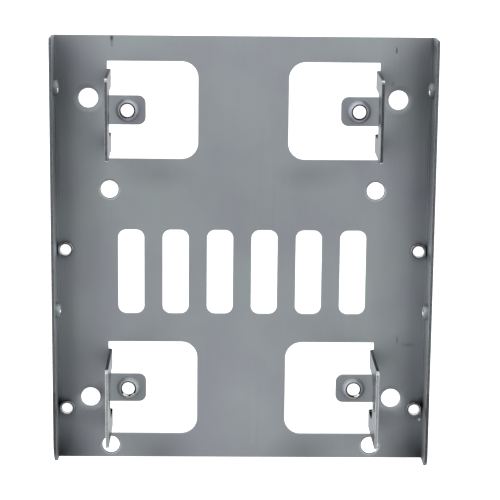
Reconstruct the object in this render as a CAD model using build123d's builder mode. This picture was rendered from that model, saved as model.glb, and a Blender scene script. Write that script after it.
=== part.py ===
from build123d import *
import os

# Drive bay adapter bracket: one steel sheet, pierced and then folded into a tray.
# It fills a 3.5 inch bay. Its long sides are flanges that take the bay screws. Its base has
# four windows, each with an upright wall beside a 2.5 inch drive and an ear under the drive.
# Millimetres, Z up: the underside of the base is Z = 0 and the plate is centred on X and Y.

os.makedirs("parts", exist_ok=True)

# Sheet, and the tray folded from it
sheet = 0.8
tray_width = 101.6
tray_length = 116.3
flange_height = 10.6
flange_bend = 0.3
lower_tip_radius = 4.5
upper_tip_radius = 2.0

# Tapped bay holes, on the standard patterns of a 3.5 inch drive
bay_pitch_x = 95.25
bay_pitch_y = 44.45
bay_row_y = 0.46
side_row_offset = 44.37
side_pitch = 59.99
side_hole_height = 6.35
thread_bore = 3.0
bore_countersink = 0.3
collar_wall = 0.55
collar_height = 1.2

# Fan screw holes, on the square patterns of 92 mm and 80 mm fans
large_fan_pitch = 82.5
large_fan_y = 0.18
large_fan_hole = 5.2
small_fan_pitch = 71.5
small_fan_y = -18.91
small_fan_hole = 4.75

# Row of cooling slots
slot_count = 6
slot_pitch = 12.0
slot_width = 7.05
slot_length = 23.25
slot_corner = 2.2
slot_row_y = -5.7

# Screw seats of a 2.5 inch drive, on its standard pattern, one on each ear
drive_pitch_x = 61.72
drive_pitch_y = 76.6
seat_hole = 3.5
seat_top = 4.6
seat_base = 6.3
seat_height = 1.4
seat_draw = 0.3

# Ears, and the slit that parts each one from its wall
ear_width = 7.8
ear_reach = 4.85
ear_corner = 2.0
slit = 2.2
slit_overrun = 0.3

# Drive walls, folded up from the outboard edges of the windows
drive_width = 69.85
drive_clearance = 0.27
wall_bend = 0.3
wall_height = 22.2
wall_corner = 1.2
wall_hole = 3.3
wall_hole_height = 17.5

# Windows left open in the base by the walls
window_inner_x = 12.05
window_length = 26.15
window_corner = 4.4

# Places that follow from the sizes above
flange_face_x = tray_width / 2 - sheet
wall_face_x = drive_width / 2 + drive_clearance
wall_back_x = wall_face_x + sheet
wall_bend_x = wall_back_x + wall_bend
wall_length = window_length - 2 * slit
ear_end_x = drive_pitch_x / 2 - ear_reach
ear_root_x = wall_bend_x + slit_overrun
notch_width = ear_width + 2 * slit
notch_height = ear_root_x - ear_end_x + slit
notch_corner = ear_corner + slit
side_row_y = bay_row_y + side_row_offset
end_rows = (-drive_pitch_y / 2, drive_pitch_y / 2)
sides = (-1, 1)

with BuildPart() as bracket:
    # Tray section with both flanges, drawn out along the bay
    with BuildSketch(Plane.XZ) as tray_section:
        Rectangle(tray_width, flange_height, align=(Align.CENTER, Align.MIN))
        fillet(tray_section.vertices().group_by(Axis.Y)[0], flange_bend + sheet)
        with Locations((0, sheet)):
            RectangleRounded(
                2 * flange_face_x,
                2 * flange_height,
                flange_bend,
                align=(Align.CENTER, Align.MIN),
                mode=Mode.SUBTRACT,
            )
    extrude(amount=tray_length / 2, both=True)

    # Rounded flange tips, larger at the lower end
    tips = bracket.edges().filter_by(Axis.X).group_by(Axis.Z)[-1].group_by(Axis.Y)
    fillet(tips[0], lower_tip_radius)
    fillet(tips[-1], upper_tip_radius)

    # Four windows, square at the fold and rounded at the inboard corners
    with BuildSketch() as windows:
        for side in sides:
            for row in end_rows:
                with Locations((side * (window_inner_x + wall_bend_x) / 2, row)):
                    Rectangle(wall_bend_x - window_inner_x, window_length)
        inboard = windows.vertices().filter_by(lambda v: abs(v.X) < ear_end_x)
        fillet(inboard, window_corner)
    extrude(amount=sheet, mode=Mode.SUBTRACT)

    # Drive walls: each one turns up from the base on a small bend
    for side in sides:
        for row in end_rows:
            with BuildSketch(Plane.XZ.offset(-row)) as wall_section:
                with BuildLine():
                    inner_line = FilletPolyline(
                        (side * wall_face_x, wall_height),
                        (side * wall_face_x, 0),
                        (side * (wall_bend_x + sheet), 0),
                        radius=wall_bend + sheet,
                    )
                    outer_line = FilletPolyline(
                        (side * wall_back_x, wall_height),
                        (side * wall_back_x, sheet),
                        (side * (wall_bend_x + sheet), sheet),
                        radius=wall_bend,
                    )
                    Line(inner_line @ 0, outer_line @ 0)
                    Line(inner_line @ 1, outer_line @ 1)
                make_face()
            extrude(amount=wall_length / 2, both=True)
    wall_tips = bracket.edges().filter_by(Axis.X).group_by(Axis.Z)[-1]
    fillet(wall_tips, wall_corner)

    # Notches left in the walls when the ears stay flat and the walls fold up round them
    for side in sides:
        with BuildSketch(Plane.YZ.offset(side * wall_face_x)) as notches:
            for row in end_rows:
                with Locations((row, 0)):
                    Rectangle(notch_width, notch_height, align=(Align.CENTER, Align.MIN))
            fillet(notches.vertices().group_by(Axis.Y)[-1], notch_corner)
        extrude(amount=side * (ear_root_x - wall_face_x), mode=Mode.SUBTRACT)

    # Side screw holes in the walls, above the notches
    for side in sides:
        with BuildSketch(Plane.YZ.offset(side * wall_face_x)):
            with Locations((0, wall_hole_height)):
                with GridLocations(drive_pitch_y, 0, 2, 1):
                    Circle(wall_hole / 2)
        extrude(amount=side * sheet, mode=Mode.SUBTRACT)

    # Flat ears, which reach in from the base through the notches
    with BuildSketch() as ears:
        for side in sides:
            for row in end_rows:
                with Locations((side * (ear_end_x + ear_root_x) / 2, row)):
                    Rectangle(ear_root_x - ear_end_x, ear_width)
        ear_tips = ears.vertices().filter_by(lambda v: abs(v.X) < drive_pitch_x / 2)
        fillet(ear_tips, ear_corner)
    extrude(amount=sheet)

    # Screw seats: the ear is pressed up into a flat-topped cone, hollow underneath
    with GridLocations(drive_pitch_x, drive_pitch_y, 2, 2):
        with Locations((0, 0, sheet)):
            Cone(
                seat_base / 2,
                seat_top / 2,
                seat_height,
                align=(Align.CENTER, Align.CENTER, Align.MIN),
            )
        Cone(
            seat_base / 2 - seat_draw,
            seat_top / 2 - seat_draw,
            seat_height,
            align=(Align.CENTER, Align.CENTER, Align.MIN),
            mode=Mode.SUBTRACT,
        )
        Hole(seat_hole / 2)

    # Fan screw holes and cooling slots
    with BuildSketch():
        with Locations((0, large_fan_y)):
            with GridLocations(large_fan_pitch, large_fan_pitch, 2, 2):
                Circle(large_fan_hole / 2)
        with Locations((0, small_fan_y)):
            with GridLocations(small_fan_pitch, small_fan_pitch, 2, 2):
                Circle(small_fan_hole / 2)
        with Locations((0, slot_row_y)):
            with GridLocations(slot_pitch, 0, slot_count, 1):
                RectangleRounded(slot_width, slot_length, slot_corner)
    extrude(amount=sheet, mode=Mode.SUBTRACT)

    # Tapped holes: each has a collar drawn inwards and a countersink on the outer face
    tapped_planes = [
        Plane((side * bay_pitch_x / 2, row, 0), z_dir=(0, 0, -1))
        for side in sides
        for row in (bay_row_y, bay_row_y - bay_pitch_y)
    ] + [
        Plane((side * tray_width / 2, row, side_hole_height), z_dir=(side, 0, 0))
        for side in sides
        for row in (side_row_y, side_row_y - side_pitch)
    ]
    with Locations(*tapped_planes):
        Cylinder(
            thread_bore / 2 + collar_wall,
            sheet + collar_height,
            align=(Align.CENTER, Align.CENTER, Align.MAX),
        )
        CounterSinkHole(
            thread_bore / 2,
            thread_bore / 2 + bore_countersink,
            sheet + collar_height,
            counter_sink_angle=90,
        )

bracket.part.label = "adapter_bracket"
export_step(bracket.part, "parts/adapter_bracket.step")
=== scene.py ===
import math

import bmesh
import bpy
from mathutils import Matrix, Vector


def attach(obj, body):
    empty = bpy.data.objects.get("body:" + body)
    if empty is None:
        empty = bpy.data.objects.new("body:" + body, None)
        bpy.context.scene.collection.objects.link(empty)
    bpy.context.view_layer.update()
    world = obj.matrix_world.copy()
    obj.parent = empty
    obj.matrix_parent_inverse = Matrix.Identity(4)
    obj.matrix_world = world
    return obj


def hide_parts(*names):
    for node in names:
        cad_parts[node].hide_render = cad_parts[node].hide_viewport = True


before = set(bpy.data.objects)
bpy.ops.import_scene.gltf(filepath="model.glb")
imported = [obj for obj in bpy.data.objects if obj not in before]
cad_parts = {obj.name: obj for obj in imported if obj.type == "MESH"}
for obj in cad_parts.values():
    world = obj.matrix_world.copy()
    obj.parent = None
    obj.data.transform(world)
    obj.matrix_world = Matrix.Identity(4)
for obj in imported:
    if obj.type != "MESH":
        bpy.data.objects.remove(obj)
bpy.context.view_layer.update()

# Camera
# The photograph looks down into the tray through a long lens, from past its upper end.
# Lens and place come from the screw-hole patterns, whose real sizes are standard.
mm = 0.001
camera_place = (-7.18 * mm, 104.09 * mm, 490.39 * mm)
camera_angles = (-11.959, -0.965, 0.571)
camera_data = bpy.data.cameras.new("camera")
camera_data.lens = 133.26
camera_data.clip_start = 0.01
camera_data.clip_end = 20
camera = bpy.data.objects.new("camera", camera_data)
camera.location = camera_place
camera.rotation_euler = [math.radians(angle) for angle in camera_angles]
bpy.context.scene.collection.objects.link(camera)
bpy.context.scene.camera = camera

# Bracket
# One piece of 0.8 mm electro-galvanised steel sheet, pierced in a press and then folded up.
# The press draws down the rims of the fan holes and the screw seats. The folds spring a
# little, so most of the walls lean in at their tops, and use wears the outer edges.
cad_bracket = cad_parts["adapter_bracket"]
same_point = 0.001 * mm
base_top = 0.8 * mm
seat_top = 2.2 * mm
sides = (-1, 1)

# Hole centres and radii in mm: screws of a 92 mm and an 80 mm fan, and of a 2.5 inch drive
large_fan = [(sx * 41.25, 0.18 + sy * 41.25) for sx in sides for sy in sides]
small_fan = [(sx * 35.75, -18.91 + sy * 35.75) for sx in sides for sy in sides]
drive_seats = [(sx * 30.86, sy * 38.3) for sx in sides for sy in sides]
large_fan_radius = 2.6
small_fan_radius = 2.375
drive_seat_radius = 1.75

# Rim profiles in mm: out from the hole's edge, and down from the face round it
large_dish = [(1.6, -0.02), (1.2, 0.03), (0.8, 0.1), (0.4, 0.2), (0.1, 0.32), (-0.2, 0.5)]
small_dish = [(0.7, -0.02), (0.5, 0.02), (0.3, 0.08), (0.12, 0.18), (0, 0.3), (-0.2, 0.5)]
seat_rim = [(0.4, -0.02), (0.3, 0.06), (0.16, 0.16), (0.06, 0.28), (-0.02, 0.4), (-0.2, 0.5)]
drawn_rims = [(place, large_fan_radius, base_top, large_dish) for place in large_fan]
drawn_rims += [(place, small_fan_radius, base_top, small_dish) for place in small_fan]
drawn_rims += [(place, drive_seat_radius, seat_top, seat_rim) for place in drive_seats]
rim_sides = 64

# The punch has one turned plug for each rim
punch = bmesh.new()
for (hole_x, hole_y), hole_radius, face_height, profile in drawn_rims:
    rings = [
        [
            punch.verts.new(
                (
                    (hole_x + (hole_radius + out) * math.cos(math.tau * k / rim_sides)) * mm,
                    (hole_y + (hole_radius + out) * math.sin(math.tau * k / rim_sides)) * mm,
                    face_height - down * mm,
                )
            )
            for k in range(rim_sides)
        ]
        for out, down in profile
    ]
    for upper, lower in zip(rings, rings[1:]):
        for k in range(rim_sides):
            n = (k + 1) % rim_sides
            punch.faces.new((upper[k], lower[k], lower[n], upper[n]))
    punch.faces.new(rings[0])
    punch.faces.new(reversed(rings[-1]))
bmesh.ops.recalc_face_normals(punch, faces=punch.faces)
punch_mesh = bpy.data.meshes.new("punch")
punch.to_mesh(punch_mesh)
punch.free()
punch = bpy.data.objects.new("punch", punch_mesh)
bpy.context.scene.collection.objects.link(punch)

shape = bmesh.new()
shape.from_mesh(cad_bracket.data)
bmesh.ops.remove_doubles(shape, verts=shape.verts, dist=same_point)
sheet_mesh = bpy.data.meshes.new("bracket_sheet")
shape.to_mesh(sheet_mesh)
shape.free()
bracket = bpy.data.objects.new("bracket_sheet", sheet_mesh)
bpy.context.scene.collection.objects.link(bracket)
drawing = bracket.modifiers.new("drawn_rims", "BOOLEAN")
drawing.object = punch
drawing.solver = "EXACT"
drawn = bpy.data.meshes.new_from_object(
    bracket.evaluated_get(bpy.context.evaluated_depsgraph_get())
)
bracket.modifiers.clear()
bpy.data.objects.remove(punch)

sliver = 0.005 * mm
flat_angle = math.radians(1)
shape = bmesh.new()
shape.from_mesh(drawn)
bmesh.ops.remove_doubles(shape, verts=shape.verts, dist=same_point)
bmesh.ops.dissolve_degenerate(shape, dist=sliver, edges=shape.edges)
bmesh.ops.dissolve_limit(shape, angle_limit=flat_angle, verts=shape.verts, edges=shape.edges)

# How far each wall's top leans in, by its side and its end of the tray
wall_lean = {(-1, 1): 0.25 * mm, (1, 1): 0.37 * mm, (-1, -1): 0.05 * mm, (1, -1): -0.04 * mm}
wall_inner, wall_outer = 35.1 * mm, 36.1 * mm
wall_foot, wall_top = 1.1 * mm, 22.2 * mm
for vertex in shape.verts:
    x, y, z = vertex.co
    if z > wall_foot and wall_inner < abs(x) < wall_outer:
        side, end = math.copysign(1, x), math.copysign(1, y)
        vertex.co.x -= side * wall_lean[side, end] * (z - wall_foot) / (wall_top - wall_foot)

# The press has rounded each flange's corners unevenly. By side and end, in mm: the radius
# that the corner is drawn with, and the one that it came out with
corner_radius = {
    (-1, 1): (2.0, 0.5),
    (1, 1): (2.0, 0.5),
    (-1, -1): (4.5, 7.4),
    (1, -1): (4.5, 3.8),
}
tray_end, flange_top, flange_face = 58.15 * mm, 10.6 * mm, 50 * mm
for vertex in shape.verts:
    x, y, z = vertex.co
    end = math.copysign(1, y)
    drawn_radius, real_radius = corner_radius[math.copysign(1, x), end]
    back, down = tray_end - abs(y), flange_top - z
    in_corner = max(back, down) < drawn_radius * mm + same_point
    if in_corner and abs(x) > flange_face - same_point:
        vertex.co.y = end * (tray_end - back * real_radius / drawn_radius)
        vertex.co.z = flange_top - down * real_radius / drawn_radius


def split_faces(faces, place, direction):
    """Split faces of the sheet along a plane, so that each part can have its own finish."""
    edges = dict.fromkeys(edge for face in faces for edge in face.edges)
    corners = dict.fromkeys(vertex for face in faces for vertex in face.verts)
    bmesh.ops.bisect_plane(
        shape,
        geom=[*faces, *edges, *corners],
        dist=same_point,
        plane_co=place,
        plane_no=direction,
    )


# The flanges' ends part from the base's ends, and the lower part of their top edges, which
# gets painted shade, from the rest
fold_line = 49.6 * mm
flange_line = 49.7 * mm
shaded_below_y = -37 * mm
flat_on = 0.99
for side in sides:
    tray_ends = [
        face
        for face in shape.faces
        if abs(face.normal.y) > flat_on
        and max(abs(vertex.co.y) for vertex in face.verts) > tray_end - same_point
    ]
    split_faces(tray_ends, (side * fold_line, 0, 0), (1, 0, 0))
flange_edges = [
    face
    for face in shape.faces
    if face.normal.z > flat_on
    and abs(face.calc_center_median().x) > flange_line
    and abs(face.calc_center_median().z - flange_top) < same_point
]
split_faces(flange_edges, (0, shaded_below_y, 0), (0, 1, 0))

# Tapped holes: the middle of each mouth, and the way in
bay_x, bay_pitch, bay_y = 47.625, 44.45, 0.46
side_x, side_pitch, side_y, side_height = 50.8, 59.99, 44.83, 6.35
tapped_holes = [
    (Vector((sx * bay_x, y, 0)) * mm, Vector((0, 0, 1)))
    for sx in sides
    for y in (bay_y, bay_y - bay_pitch)
] + [
    (Vector((sx * side_x, y, side_height)) * mm, Vector((-sx, 0, 0)))
    for sx in sides
    for y in (side_y, side_y - side_pitch)
]
bore_radius = 1.5 * mm
bore_slack = 0.05 * mm
collar_radius = 2.06 * mm
collar_top = 2 * mm
collar_reach = 3 * mm
largest_bore_face = 7 * mm**2


def in_tapped_hole(place):
    """Whether a place lies in a tapped hole's bore or on top of its collar."""
    for mouth, axis in tapped_holes:
        inward = place - mouth
        from_axis = axis.cross(inward).length
        in_bore = from_axis < bore_radius + bore_slack
        on_top = from_axis < collar_radius and axis.dot(inward) > collar_top - same_point
        if inward.length < collar_reach and (in_bore or on_top):
            return True
    return False


def lies_near(place, spots, reach):
    """Whether a place lies within reach of one of the spots, all in mm, seen from above."""
    return any(math.hypot(place.x - x * mm, place.y - y * mm) < reach * mm for x, y in spots)


# The finish of each face. A cut face has the sheet's thickness across it: the outlines, the
# slots and the holes. The folding tool has wiped the walls, and the folds get painted shade.
# The tops of the lower walls get painted light; the ends of walls and flanges, the upper right
# wall's top and the flanges' lower top edges get painted shade. The walls' top corners and two
# spots on the rims of the two lower seats get bright steel as painted highlights. The seat rims,
# the small fan holes' rims and the walls' openings get the dark rim, painted shade.
skin, rim, cut, tapped_and_glint, wiped, fold_shade, lit_cut, shaded_cut = range(8)
seat_glints = [(-31.5, -39.9), (31.7, -39.8)]
seat_glint_radius = 0.75
seat_rim_radius, seat_rim_depth = 2.16, 0.42 * mm
small_rim_radius = 2.6
side_collar_x, side_collar_top = 48 * mm, 9 * mm
upper_part, upper_edges = 5 * mm, 10 * mm
flange_outside = 50.7 * mm
flange_tips_y = 50 * mm
wall_band = (34.2 * mm, 36.2 * mm)
wall_fold_band = (34.9 * mm, 36.4 * mm)
wall_tip = 20 * mm
opening_y, opening_half, opening_top = 38.3 * mm, 6.2 * mm, 19.3 * mm
fold_top = 1.2 * mm

# Limits on the parts of a face's normal, from flat on to edge on
level, facing, steep, slanting = 0.97, 0.9, 0.75, 0.5
leaning, edge_on, square, straight = 0.4, 0.1, 0.05, 0.01
for face in shape.faces:
    nx, ny, nz = face.normal
    centre = face.calc_center_median()
    out, y, z = abs(centre.x), centre.y, centre.z
    in_base = max(vertex.co.z for vertex in face.verts) < base_top + same_point
    in_wall = wall_band[0] < out < wall_band[1]
    in_flange = out > flange_line
    on_side_collar = abs(nx) < square and out > side_collar_x and z < side_collar_top
    is_cut = not on_side_collar and (
        (abs(ny) > facing and abs(nz) < edge_on and not in_base)
        or (abs(nz) < edge_on and in_base and out < flange_outside)
        or (nz > facing and z > upper_part)
        or (abs(nx) < square and abs(ny) > edge_on and z > upper_part)
    )
    on_bore = face.calc_area() < largest_bore_face and in_tapped_hole(centre)
    on_seat_rim = (
        nz < level
        and z > seat_top - seat_rim_depth
        and lies_near(centre, drive_seats, seat_rim_radius)
    )
    on_seat_glint = on_seat_rim and lies_near(centre, seat_glints, seat_glint_radius)
    on_small_rim = edge_on < nz < steep and lies_near(centre, small_fan, small_rim_radius)
    runs_across_wall = in_wall and abs(nx) < leaning
    in_wall_opening = (
        runs_across_wall
        and wall_foot < z < opening_top
        and abs(abs(y) - opening_y) < opening_half
    )
    on_wall_end = in_wall and ny > facing and z > wall_foot and not in_wall_opening
    on_wall_tip = runs_across_wall and z > wall_tip
    on_wall_top = on_wall_tip and nz > facing
    on_wall_corner = on_wall_tip and abs(ny) > slanting and nz > slanting
    on_flange_tip = (
        in_flange and abs(y) > flange_tips_y and abs(nx) < edge_on and abs(ny) > edge_on
    )
    on_shaded_edge = in_flange and y < shaded_below_y and nz > facing and z > upper_edges
    at_fold = out > fold_line or wall_fold_band[0] < out < wall_fold_band[1]
    # Bright steel on the walls' top corners and on the seat glint spots is painted highlight; the
    # lit and shaded cuts are painted light and painted shade.
    if on_bore or on_seat_glint or on_wall_corner:
        face.material_index = tapped_and_glint
    elif on_wall_top and y < 0:
        face.material_index = lit_cut
    elif on_wall_end or on_flange_tip or on_shaded_edge or (on_wall_top and centre.x > 0):
        face.material_index = shaded_cut
    elif on_seat_rim or on_small_rim or in_wall_opening:
        face.material_index = rim
    elif is_cut:
        face.material_index = cut
    elif in_wall and abs(nx) > facing:
        face.material_index = wiped
    elif at_fold and abs(nx) > edge_on and abs(ny) < straight and z < fold_top:
        face.material_index = fold_shade
    face.smooth = True

# Outer edges are rounded; inner ones, at the feet of the collars and seats, stay sharp
sharp_angle = math.radians(35)
edge_round = 0.08 * mm
bevel_weight = shape.edges.layers.float.new("bevel_weight_edge")
for edge in shape.edges:
    if edge.calc_face_angle(0) > sharp_angle:
        edge[bevel_weight] = edge.is_convex
        edge.smooth = edge.is_convex
shape.to_mesh(sheet_mesh)
shape.free()
bpy.data.meshes.remove(drawn)

rounding = bracket.modifiers.new("worn_rims", "BEVEL")
rounding.limit_method = "WEIGHT"
rounding.width = edge_round
rounding.segments = 2
rounding.use_clamp_overlap = False
# The rounded rims take the dark rim, painted shade along the edges.
rounding.material = rim
rounded = bpy.data.meshes.new_from_object(
    bracket.evaluated_get(bpy.context.evaluated_depsgraph_get())
)
bracket.modifiers.clear()
bracket.data = rounded
bpy.data.meshes.remove(sheet_mesh)
for vertex in rounded.vertices:
    vertex.co.z = max(vertex.co.z, 0)
shading = bracket.modifiers.new("flat_sheet_shading", "WEIGHTED_NORMAL")
shading.keep_sharp = True

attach(bracket, "root")
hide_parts("adapter_bracket")


def linear(hex_colour):
    """An sRGB hex colour as linear RGBA."""
    channels = [int(hex_colour[i : i + 2], 16) / 255 for i in (1, 3, 5)]
    return [c / 12.92 if c <= 0.04045 else ((c + 0.055) / 1.055) ** 2.4 for c in channels] + [1]


def add_node(material, kind, links=None, **settings):
    """A shader node with its settings, and with links from {input: output or value}."""
    node = material.node_tree.nodes.new(kind)
    for name, value in settings.items():
        setattr(node, name, value)
    for name, source in (links or {}).items():
        if isinstance(source, bpy.types.NodeSocket):
            material.node_tree.links.new(source, node.inputs[name])
        else:
            node.inputs[name].default_value = source
    return node


# Electro-galvanised sheet: a thin matt zinc coat, plated on cold-rolled steel.
# The eye sees a satin blue-grey with soft lilac and green clouds, a faint rolled grain along
# the sheet and fine handling marks. Painted shade darkens the inner corners and folds, and soft
# spots of painted shade and painted light lie over the base. The grain and the pebbled skin of
# zinc crystals are drawn coarse enough to show.
zinc = bpy.data.materials.new("electro_galvanised_steel")
zinc.use_nodes = True
shader = zinc.node_tree.nodes["Principled BSDF"]
shader.inputs["Metallic"].default_value = 1
place = add_node(zinc, "ShaderNodeTexCoord").outputs["Object"]

cloud_size = 24 * mm
clouds = add_node(
    zinc, "ShaderNodeTexNoise", {"Vector": place, "Scale": 1 / cloud_size, "Detail": 3}
)
cloud_colour = add_node(zinc, "ShaderNodeValToRGB", {"Fac": clouds.outputs["Fac"]})
cloud_colour.color_ramp.elements[0].position = 0.35
cloud_colour.color_ramp.elements[0].color = linear("#9a9da4")
cloud_colour.color_ramp.elements[1].position = 0.65
cloud_colour.color_ramp.elements[1].color = linear("#9ea5a7")

grain_width = 0.5 * mm
grain_length = 18 * mm
along_sheet = add_node(
    zinc,
    "ShaderNodeMapping",
    {"Vector": place, "Scale": (1 / grain_width, 1 / grain_length, 1 / grain_width)},
)
grain = add_node(
    zinc, "ShaderNodeTexNoise", {"Vector": along_sheet.outputs["Vector"], "Scale": 1, "Detail": 4}
)
roughness = add_node(
    zinc,
    "ShaderNodeMapRange",
    {"Value": grain.outputs["Fac"], "To Min": 0.50, "To Max": 0.62},
    name="roughness",
)

# Marks and painted light, each a soft spot: place, half width and half length in mm, and
# strength. A strength above 0 darkens the zinc, and one below 0 brightens it. The scratches and
# scuffs are marks on the sheet; the other spots are painted shade and painted light.
marks_and_painted_light = [
    # Scratches and scuffs on the base
    (-34.95, 57.4, 0.6, 1.3, 0.95),
    (-34.9, 55.7, 0.4, 1.0, 0.4),
    (40.45, 54.6, 0.32, 1.3, 0.85),
    (40.45, 53.4, 0.3, 0.8, -0.2),
    (42.55, -24.5, 0.32, 1.6, 0.55),
    (45.5, -25.8, 2.8, 0.7, 0.3),
    (39.6, 45.8, 0.5, 0.9, 0.3),
    # Painted shade in the lower corners, and a faint band of painted shade across the upper half
    (-50.8, -60.0, 16.0, 12.0, 0.8),
    (50.8, -60.0, 16.0, 12.0, 0.8),
    (0.0, 14.0, 90.0, 26.0, 0.07),
    # Painted shade and painted light on the strips of the base beside the flanges
    (-50.8, 40.0, 16.0, 28.0, 0.2),
    (50.8, 40.0, 16.0, 28.0, 0.2),
    (-50.8, -18.0, 14.0, 42.0, -0.24),
    (50.8, -24.0, 14.0, 40.0, -0.24),
    (-47.0, 29.0, 9.0, 13.0, -0.2),
    (47.0, 29.0, 9.0, 13.0, -0.2),
    # Painted light round the lower tapped holes, painted shade by a wall's foot and by the
    # collars at the flanges, and two small painted highlights by the lower right collar
    (-44.6, -43.2, 3.2, 3.2, -0.4),
    (43.6, -43.4, 3.2, 3.2, -0.4),
    (-38.3, -40.0, 2.4, 4.0, 0.5),
    (-49.6, -42.5, 1.6, 2.2, 0.8),
    (49.6, -42.5, 1.6, 2.2, 0.8),
    (49.9, 0.3, 1.2, 2.4, 0.8),
    (49.4, -45.3, 0.5, 0.6, -2.2),
    (49.3, -47.1, 0.5, 0.5, -3.2),
    # Painted light round the screw seats
    (-30.9, 39.5, 3.4, 3.2, -0.7),
    (30.6, 39.5, 3.4, 3.2, -0.7),
    (-30.6, -37.3, 3.4, 3.2, -0.5),
    (30.6, -37.3, 3.4, 3.2, -0.5),
    # Broad faint patches of painted shade and painted light between and beside the windows
    (-22.0, -57.0, 11.0, 8.0, 0.3),
    (17.0, -57.0, 11.0, 8.0, 0.3),
    (-23.0, 21.0, 11.0, 5.0, 0.16),
    (18.0, 21.0, 11.0, 5.0, 0.16),
    (0.0, -40.0, 34.0, 28.0, -0.15),
    (-41.0, -6.0, 9.0, 46.0, 0.16),
    (42.0, -12.0, 8.0, 34.0, 0.07),
    # Painted shade along the feet of the flanges
    (-50.2, -57.0, 9.0, 6.0, 0.19),
    (50.2, -57.0, 9.0, 6.0, 0.2),
    (50.0, 56.0, 0.55, 4.0, 0.5),
    (-50.3, 24.0, 1.6, 17.0, 0.36),
    (50.3, 26.0, 1.6, 15.0, 0.28),
    (-50.3, -40.5, 1.6, 7.0, 0.34),
    (50.3, -41.5, 1.6, 7.0, 0.4),
]
painted_shade_and_marks = 0
for mark_x, mark_y, half_width, half_length, strength in marks_and_painted_light:
    spot_place = add_node(
        zinc,
        "ShaderNodeMapping",
        {
            "Vector": place,
            "Location": (mark_x * mm, mark_y * mm, 0),
            "Scale": (half_width * mm, half_length * mm, 1),
        },
        vector_type="TEXTURE",
    )
    spot = add_node(
        zinc,
        "ShaderNodeTexGradient",
        {"Vector": spot_place.outputs["Vector"]},
        gradient_type="SPHERICAL",
    )
    shaded_and_marked = add_node(
        zinc,
        "ShaderNodeMath",
        {0: spot.outputs["Fac"], 1: strength, 2: painted_shade_and_marks},
        operation="MULTIPLY_ADD",
    )
    painted_shade_and_marks = shaded_and_marked.outputs["Value"]

# The underside and the outer faces of the flanges have no marks and no painted light. A face's
# distance from the middle, measured along its normal, is largest on the flanges' outer faces.
facing_way = add_node(zinc, "ShaderNodeTexCoord").outputs["Normal"]
facing_up = add_node(zinc, "ShaderNodeSeparateXYZ", {"Vector": facing_way}).outputs["Z"]
upper_side = add_node(
    zinc, "ShaderNodeMapRange", {"Value": facing_up, "From Min": -0.6, "From Max": -0.3}
)
outwards = add_node(
    zinc, "ShaderNodeVectorMath", {0: place, 1: facing_way}, operation="DOT_PRODUCT"
)
inner_side = add_node(
    zinc,
    "ShaderNodeMapRange",
    {
        "Value": outwards.outputs["Value"],
        "From Min": 40 * mm,
        "From Max": 48 * mm,
        "To Min": 1,
        "To Max": 0,
    },
)
marked_side = add_node(
    zinc,
    "ShaderNodeMath",
    {0: upper_side.outputs["Result"], 1: inner_side.outputs["Result"]},
    operation="MULTIPLY",
)
shown_marks_and_painted_light = add_node(
    zinc,
    "ShaderNodeMath",
    {0: painted_shade_and_marks, 1: marked_side.outputs["Value"]},
    operation="MULTIPLY",
)

# Painted shade: the colour darkens where ambient occlusion finds the sheet closed in, in inner
# corners, along the folds and round the walls and collars.
painted_shade_reach = 14 * mm
openness = add_node(
    zinc, "ShaderNodeAmbientOcclusion", {"Distance": painted_shade_reach}, only_local=True, samples=8
)
painted_corner_shade = add_node(
    zinc,
    "ShaderNodeMapRange",
    {"Value": openness.outputs["AO"], "From Min": 0.3, "From Max": 0.97, "To Min": 0.55},
    name="painted_corner_shade",
)
bright = add_node(
    zinc, "ShaderNodeMath", {0: 1.0, 1: shown_marks_and_painted_light.outputs["Value"]}, operation="SUBTRACT"
)
shade = add_node(
    zinc,
    "ShaderNodeMath",
    {0: bright.outputs["Value"], 1: painted_corner_shade.outputs["Result"]},
    operation="MULTIPLY",
)
plated_colour = add_node(
    zinc,
    "ShaderNodeVectorMath",
    {0: cloud_colour.outputs["Color"], "Scale": shade.outputs["Value"]},
    operation="SCALE",
)
zinc.node_tree.links.new(plated_colour.outputs["Vector"], shader.inputs["Base Color"])
zinc.node_tree.links.new(roughness.outputs["Result"], shader.inputs["Roughness"])
pebble_size = 0.4 * mm
pebble_height = 0.006 * mm
pebbles = add_node(
    zinc, "ShaderNodeTexNoise", {"Vector": place, "Scale": 1 / pebble_size, "Detail": 3}
)
pebbled = add_node(
    zinc,
    "ShaderNodeBump",
    {"Height": pebbles.outputs["Fac"], "Strength": 0.5, "Distance": pebble_height},
)
zinc.node_tree.links.new(pebbled.outputs["Normal"], shader.inputs["Normal"])
bracket.data.materials.append(zinc)

# Wiped sheet: the folding tool slides along the walls and leaves the same zinc smoother
# there, so that seen along its face it dimly mirrors the ears and the table.
wiped_zinc = zinc.copy()
wiped_zinc.name = "wiped_zinc"
wiped_zinc.node_tree.nodes["roughness"].inputs["To Min"].default_value = 0.24
wiped_zinc.node_tree.nodes["roughness"].inputs["To Max"].default_value = 0.36
shader = wiped_zinc.node_tree.nodes["Principled BSDF"]
shader.inputs["Specular Tint"].default_value = linear("#9fa1a3")

# Folds: where the sheet is bent, a darker copy of the zinc paints shade into the inner folds.
fold_shaded_zinc = zinc.copy()
fold_shaded_zinc.name = "zinc_with_painted_fold_shade"
fold_shaded_zinc.node_tree.nodes["painted_corner_shade"].inputs["To Min"].default_value = 0.2
fold_shaded_zinc.node_tree.nodes["painted_corner_shade"].inputs["To Max"].default_value = 0.6

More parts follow.
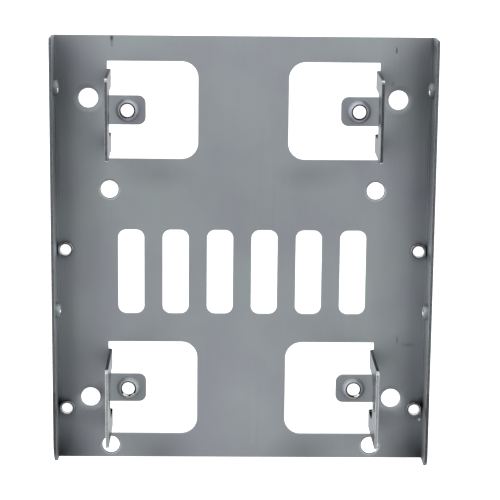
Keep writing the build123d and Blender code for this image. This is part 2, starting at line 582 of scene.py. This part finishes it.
# Dark rim: where the die and handling round an edge, the rounding is painted a dark steel,
# which is painted shade along the edges and round the holes. Small worn spots on it are bright
# and glint.
dark_rim_steel = bpy.data.materials.new("steel_rim_with_painted_shade")
dark_rim_steel.use_nodes = True
shader = dark_rim_steel.node_tree.nodes["Principled BSDF"]
shader.inputs["Metallic"].default_value = 1
place = add_node(dark_rim_steel, "ShaderNodeTexCoord").outputs["Object"]
rub_size = 1.5 * mm
rubs = add_node(
    dark_rim_steel, "ShaderNodeTexNoise", {"Vector": place, "Scale": 1 / rub_size, "Detail": 2}
)
rim_shade_and_rubs = add_node(dark_rim_steel, "ShaderNodeValToRGB", {"Fac": rubs.outputs["Fac"]})
rim_shade_and_rubs.color_ramp.elements[0].position = 0.62
rim_shade_and_rubs.color_ramp.elements[0].color = linear("#222426")
rim_shade_and_rubs.color_ramp.elements[1].position = 0.72
rim_shade_and_rubs.color_ramp.elements[1].color = linear("#d2d5d7")
rub_roughness = add_node(
    dark_rim_steel,
    "ShaderNodeMapRange",
    {"Value": rubs.outputs["Fac"], "To Min": 0.55, "To Max": 0.3},
)
shader.inputs["Specular Tint"].default_value = linear("#8e9092")
dark_rim_steel.node_tree.links.new(rim_shade_and_rubs.outputs["Color"], shader.inputs["Base Color"])
dark_rim_steel.node_tree.links.new(rub_roughness.outputs["Result"], shader.inputs["Roughness"])
bracket.data.materials.append(dark_rim_steel)

# Sheared edge: the cut shows the bare steel, shaved smooth by the punch and with fine marks
# of tearing, drawn coarse enough to show. It is glossier than the plated face, and painted
# shade darkens it deep in the holes and notches.
sheared = bpy.data.materials.new("sheared_steel_edge")
sheared.use_nodes = True
shader = sheared.node_tree.nodes["Principled BSDF"]
shader.inputs["Metallic"].default_value = 1
place = add_node(sheared, "ShaderNodeTexCoord").outputs["Object"]
tear_size = 0.35 * mm
tear_depth = 0.02 * mm
tears = add_node(
    sheared, "ShaderNodeTexNoise", {"Vector": place, "Scale": 1 / tear_size, "Detail": 3}
)
tear_colour = add_node(
    sheared, "ShaderNodeValToRGB", {"Fac": tears.outputs["Fac"]}, name="tears"
)
tear_colour.color_ramp.elements[0].position = 0.3
tear_colour.color_ramp.elements[0].color = linear("#787b7e")
tear_colour.color_ramp.elements[1].position = 0.7
tear_colour.color_ramp.elements[1].color = linear("#95989b")
tear_roughness = add_node(
    sheared,
    "ShaderNodeMapRange",
    {"Value": tears.outputs["Fac"], "To Min": 0.25, "To Max": 0.45},
)
# Painted shade: the cut's colour darkens where ambient occlusion finds it closed in.
notch_reach = 4 * mm
openness = add_node(
    sheared, "ShaderNodeAmbientOcclusion", {"Distance": notch_reach}, only_local=True, samples=4
)
painted_hollow_shade = add_node(
    sheared,
    "ShaderNodeMapRange",
    {"Value": openness.outputs["AO"], "From Min": 0.5, "From Max": 0.97, "To Min": 0.1},
)
shaded_tear_colour = add_node(
    sheared,
    "ShaderNodeVectorMath",
    {0: tear_colour.outputs["Color"], "Scale": painted_hollow_shade.outputs["Result"]},
    operation="SCALE",
)
sheared.node_tree.links.new(shaded_tear_colour.outputs["Vector"], shader.inputs["Base Color"])
sheared.node_tree.links.new(tear_roughness.outputs["Result"], shader.inputs["Roughness"])
torn = add_node(
    sheared,
    "ShaderNodeBump",
    {"Height": tears.outputs["Fac"], "Strength": 0.6, "Distance": tear_depth},
)
sheared.node_tree.links.new(torn.outputs["Normal"], shader.inputs["Normal"])
bracket.data.materials.append(sheared)

# Lit shear: on the tops of the two lower walls the cut is painted much brighter, as painted
# light.
lit_shear = sheared.copy()
lit_shear.name = "sheared_steel_with_painted_light"
lit_ramp = lit_shear.node_tree.nodes["tears"].color_ramp
lit_ramp.elements[0].color = linear("#d0d2d4")
lit_ramp.elements[1].color = linear("#e4e6e7")

# Shaded shear: on the upper right wall's top, on the walls' ends, on the ends of the flanges
# and on the lower part of the flanges' top edges the cut is painted dark, as painted shade.
shaded_shear = sheared.copy()
shaded_shear.name = "sheared_steel_with_painted_shade"
shader = shaded_shear.node_tree.nodes["Principled BSDF"]
shader.inputs["Specular Tint"].default_value = linear("#a4a6a8")
shaded_ramp = shaded_shear.node_tree.nodes["tears"].color_ramp
shaded_ramp.elements[0].color = linear("#5a5d5f")
shaded_ramp.elements[1].color = linear("#727577")

# Threads
# Eight screw holes are tapped into the drawn collars: a 6-32 thread, 0.794 mm to a turn.
# The tap cuts through the zinc, so bores and crests are bright bare steel.
thread_pitch = 0.794 * mm
thread_turns = 1.7
thread_start = 0.32 * mm
crest_radius = 1.42 * mm
root_depth = 0.03 * mm
root_radius = bore_radius + root_depth
ridge_half = 0.26 * mm
crest_half = 0.05 * mm
steps_per_turn = 40
run_out_steps = 8

thread_shape = bmesh.new()
for mouth, axis in tapped_holes:
    across = axis.orthogonal().normalized()
    other = axis.cross(across)
    steps = round(thread_turns * steps_per_turn)
    sections = []
    for k in range(steps + 1):
        angle = math.tau * k / steps_per_turn
        outward = math.cos(angle) * across + math.sin(angle) * other
        along = thread_start + thread_pitch * k / steps_per_turn
        growth = min(1, k / run_out_steps, (steps - k) / run_out_steps)
        crest = root_radius + (crest_radius - root_radius) * growth
        sections.append(
            [
                thread_shape.verts.new(mouth + outward * radius + axis * (along + shift))
                for radius, shift in (
                    (root_radius, -ridge_half),
                    (crest, -crest_half),
                    (crest, crest_half),
                    (root_radius, ridge_half),
                )
            ]
        )
    for first, second in zip(sections, sections[1:]):
        for k in range(4):
            n = (k + 1) % 4
            thread_shape.faces.new((first[k], first[n], second[n], second[k]))
    thread_shape.faces.new(reversed(sections[0]))
    thread_shape.faces.new(sections[-1])
bmesh.ops.recalc_face_normals(thread_shape, faces=thread_shape.faces)
for face in thread_shape.faces:
    face.smooth = True
thread_mesh = bpy.data.meshes.new("screw_threads")
thread_shape.to_mesh(thread_mesh)
thread_shape.free()
threads = bpy.data.objects.new("screw_threads", thread_mesh)
bpy.context.scene.collection.objects.link(threads)
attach(threads, "root")

# Tapped bare steel: bright and nearly mirror-smooth, with the fine marks of the tap, drawn
# coarse enough to show. The same bright steel on the walls' top corners and on two spots of
# the lower seats' rims is painted highlight.
tap_and_glint_steel = bpy.data.materials.new("tapped_steel_and_painted_glints")
tap_and_glint_steel.use_nodes = True
shader = tap_and_glint_steel.node_tree.nodes["Principled BSDF"]
shader.inputs["Metallic"].default_value = 1
place = add_node(tap_and_glint_steel, "ShaderNodeTexCoord").outputs["Object"]
ring_size = 0.3 * mm
tap_marks = add_node(
    tap_and_glint_steel, "ShaderNodeTexNoise", {"Vector": place, "Scale": 1 / ring_size, "Detail": 2}
)
tap_colour = add_node(tap_and_glint_steel, "ShaderNodeValToRGB", {"Fac": tap_marks.outputs["Fac"]})
tap_colour.color_ramp.elements[0].position = 0.35
tap_colour.color_ramp.elements[0].color = linear("#a9adb0")
tap_colour.color_ramp.elements[1].position = 0.65
tap_colour.color_ramp.elements[1].color = linear("#d6d9da")
tap_roughness = add_node(
    tap_and_glint_steel,
    "ShaderNodeMapRange",
    {"Value": tap_marks.outputs["Fac"], "To Min": 0.22, "To Max": 0.12},
)
tap_and_glint_steel.node_tree.links.new(tap_colour.outputs["Color"], shader.inputs["Base Color"])
tap_and_glint_steel.node_tree.links.new(tap_roughness.outputs["Result"], shader.inputs["Roughness"])
threads.data.materials.append(tap_and_glint_steel)

# The sheet's other finishes join it in the order in which its faces name them
for finish in (tap_and_glint_steel, wiped_zinc, fold_shaded_zinc, lit_shear, shaded_shear):
    bracket.data.materials.append(finish)

# Floor
# A plain white table right under the tray, which keeps its shadow.
floor_half = 3.0
floor_gap = 0.2 * mm
floor_mesh = bpy.data.meshes.new("floor")
floor_mesh.from_pydata(
    [
        (-floor_half, -floor_half, 0),
        (floor_half, -floor_half, 0),
        (floor_half, floor_half, 0),
        (-floor_half, floor_half, 0),
    ],
    [],
    [(0, 1, 2, 3)],
)
floor = bpy.data.objects.new("floor", floor_mesh)
bpy.context.scene.collection.objects.link(floor)
floor.location.z = -floor_gap

# Matt white board: it scatters the lamps' light, and a little more white is added for the
# rays that see it, so that it is as white as the photograph's background.
added_white = 0.85
board = bpy.data.materials.new("matt_white_board")
board.use_nodes = True
board_shader = board.node_tree.nodes["Principled BSDF"]
board_shader.inputs["Base Color"].default_value = linear("#f4f4f4")
board_shader.inputs["Roughness"].default_value = 1
board_shader.inputs["Specular IOR Level"].default_value = 0
board_shader.inputs["Emission Color"].default_value = linear("#ffffff")
rays = add_node(board, "ShaderNodeLightPath")
seen = add_node(
    board,
    "ShaderNodeMath",
    {0: rays.outputs["Is Camera Ray"], 1: rays.outputs["Is Glossy Ray"]},
    operation="MAXIMUM",
)
seen = add_node(
    board,
    "ShaderNodeMath",
    {0: seen.outputs["Value"], 1: rays.outputs["Is Transmission Ray"]},
    operation="MAXIMUM",
)
seen = add_node(
    board, "ShaderNodeMath", {0: seen.outputs["Value"], 1: added_white}, operation="MULTIPLY"
)
board.node_tree.links.new(seen.outputs["Value"], board_shader.inputs["Emission Strength"])
floor_mesh.materials.append(board)

# Light
# Two large soft boxes stand left and right of the tray and a smaller one past its upper end.
# The studio round them is pale, but dark overhead, where the camera is.
boxes = [
    # name, azimuth, elevation, width, height, radiance
    ("soft_box_left", 165, 38, 2.6, 2.0, 1.8),
    ("soft_box_right", 15, 38, 2.6, 2.0, 1.4),
    ("soft_box_upper_end", 90, 34, 1.6, 1.4, 0.6),
]
box_distance = 1.5
for name, azimuth, elevation, width, height, radiance in boxes:
    box_data = bpy.data.lights.new(name, "AREA")
    box_data.shape = "RECTANGLE"
    box_data.size = width
    box_data.size_y = height
    box_data.energy = radiance * math.pi * width * height
    box = bpy.data.objects.new(name, box_data)
    turn, rise = math.radians(azimuth), math.radians(elevation)
    towards = Vector(
        (math.cos(rise) * math.cos(turn), math.cos(rise) * math.sin(turn), math.sin(rise))
    )
    box.location = box_distance * towards
    box.rotation_euler = towards.to_track_quat("Z", "Y").to_euler()
    box.visible_camera = False
    bpy.context.scene.collection.objects.link(box)

studio = bpy.data.worlds.new("studio")
studio.use_nodes = True
bpy.context.scene.world = studio
background = studio.node_tree.nodes["Background"]
sky_place = add_node(studio, "ShaderNodeTexCoord").outputs["Generated"]
sky_height = add_node(studio, "ShaderNodeSeparateXYZ", {"Vector": sky_place}).outputs["Z"]
studio_level = add_node(
    studio,
    "ShaderNodeMapRange",
    {"Value": sky_height, "From Min": 0.8, "From Max": 0.97, "To Min": 0.5, "To Max": 0.08},
)
studio.node_tree.links.new(studio_level.outputs["Result"], background.inputs["Strength"])
background.inputs["Color"].default_value = (1, 1, 1, 1)
bpy.context.scene.view_settings.view_transform = "Standard"
